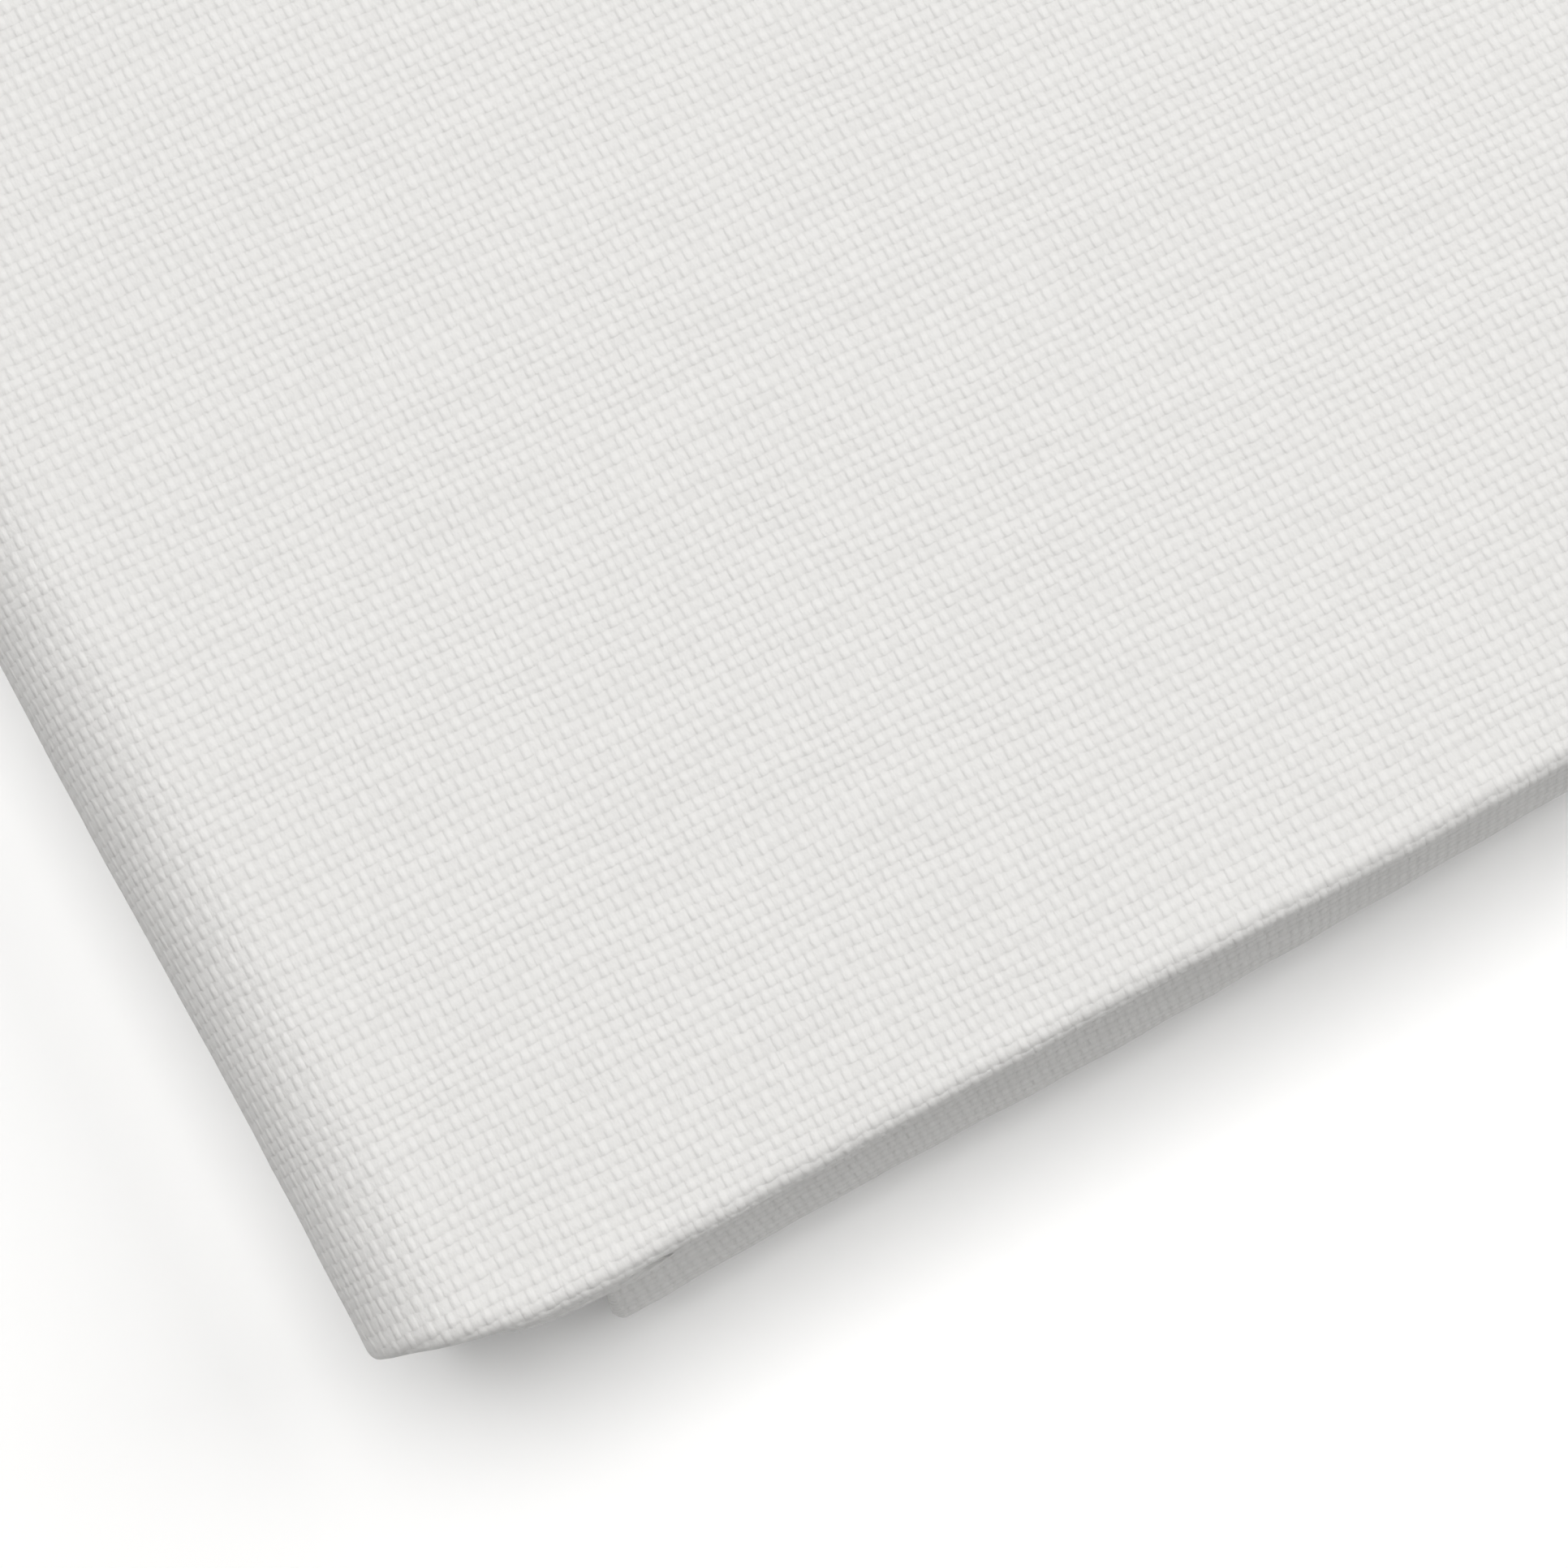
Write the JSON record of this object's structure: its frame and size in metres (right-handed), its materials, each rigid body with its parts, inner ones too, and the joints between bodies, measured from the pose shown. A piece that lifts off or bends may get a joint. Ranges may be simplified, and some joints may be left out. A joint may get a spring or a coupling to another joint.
{
  "type": "stretched canvas",
  "caption": "Small white cotton canvas stretched over keyed wooden bars, with folded corners, stapled turnover and slide-out corner keys.",
  "frame": {"origin": "on the surface the canvas lies on, under the middle of the frame", "axes": "+Z out of the painting face, +Y along the long side, +X along the short side"},
  "size_m": [0.2044, 0.2628, 0.0218],
  "materials": {
    "cotton_canvas": "matte, plain weave",
    "bar_wood": "planed, unfinished",
    "key_wood": "sawn, unfinished",
    "staple_steel": "bright wire"
  },
  "bodies": {
    "stretched_frame": {"bottom_rail": "bar_wood", "right_stile": "bar_wood", "top_rail": "bar_wood", "left_stile": "bar_wood", "canvas": "cotton_canvas", "bottom_rail_staples": "staple_steel", "right_stile_staples": "staple_steel", "top_rail_staples": "staple_steel", "left_stile_staples": "staple_steel", "corner_staples": "staple_steel"},
    "key_bottom_left_rail": {"key_bottom_left_rail": "key_wood"},
    "key_bottom_left_stile": {"key_bottom_left_stile": "key_wood"},
    "key_bottom_right_rail": {"key_bottom_right_rail": "key_wood"},
    "key_bottom_right_stile": {"key_bottom_right_stile": "key_wood"},
    "key_top_left_rail": {"key_top_left_rail": "key_wood"},
    "key_top_left_stile": {"key_top_left_stile": "key_wood"},
    "key_top_right_rail": {"key_top_right_rail": "key_wood"},
    "key_top_right_stile": {"key_top_right_stile": "key_wood"}
  },
  "joints": [
    {"name": "draw_bottom_left_rail", "type": "slide", "parent": "stretched_frame", "child": "key_bottom_left_rail", "axis": [0, 1, 0], "range_m": [0, 0.022]},
    {"name": "draw_bottom_left_stile", "type": "slide", "parent": "stretched_frame", "child": "key_bottom_left_stile", "axis": [1, 0, 0], "range_m": [0, 0.022]},
    {"name": "draw_bottom_right_rail", "type": "slide", "parent": "stretched_frame", "child": "key_bottom_right_rail", "axis": [0, 1, 0], "range_m": [0, 0.022]},
    {"name": "draw_bottom_right_stile", "type": "slide", "parent": "stretched_frame", "child": "key_bottom_right_stile", "axis": [-1, 0, 0], "range_m": [0, 0.022]},
    {"name": "draw_top_left_rail", "type": "slide", "parent": "stretched_frame", "child": "key_top_left_rail", "axis": [0, -1, 0], "range_m": [0, 0.022]},
    {"name": "draw_top_left_stile", "type": "slide", "parent": "stretched_frame", "child": "key_top_left_stile", "axis": [1, 0, 0], "range_m": [0, 0.022]},
    {"name": "draw_top_right_rail", "type": "slide", "parent": "stretched_frame", "child": "key_top_right_rail", "axis": [0, -1, 0], "range_m": [0, 0.022]},
    {"name": "draw_top_right_stile", "type": "slide", "parent": "stretched_frame", "child": "key_top_right_stile", "axis": [-1, 0, 0], "range_m": [0, 0.022]}
  ]
}
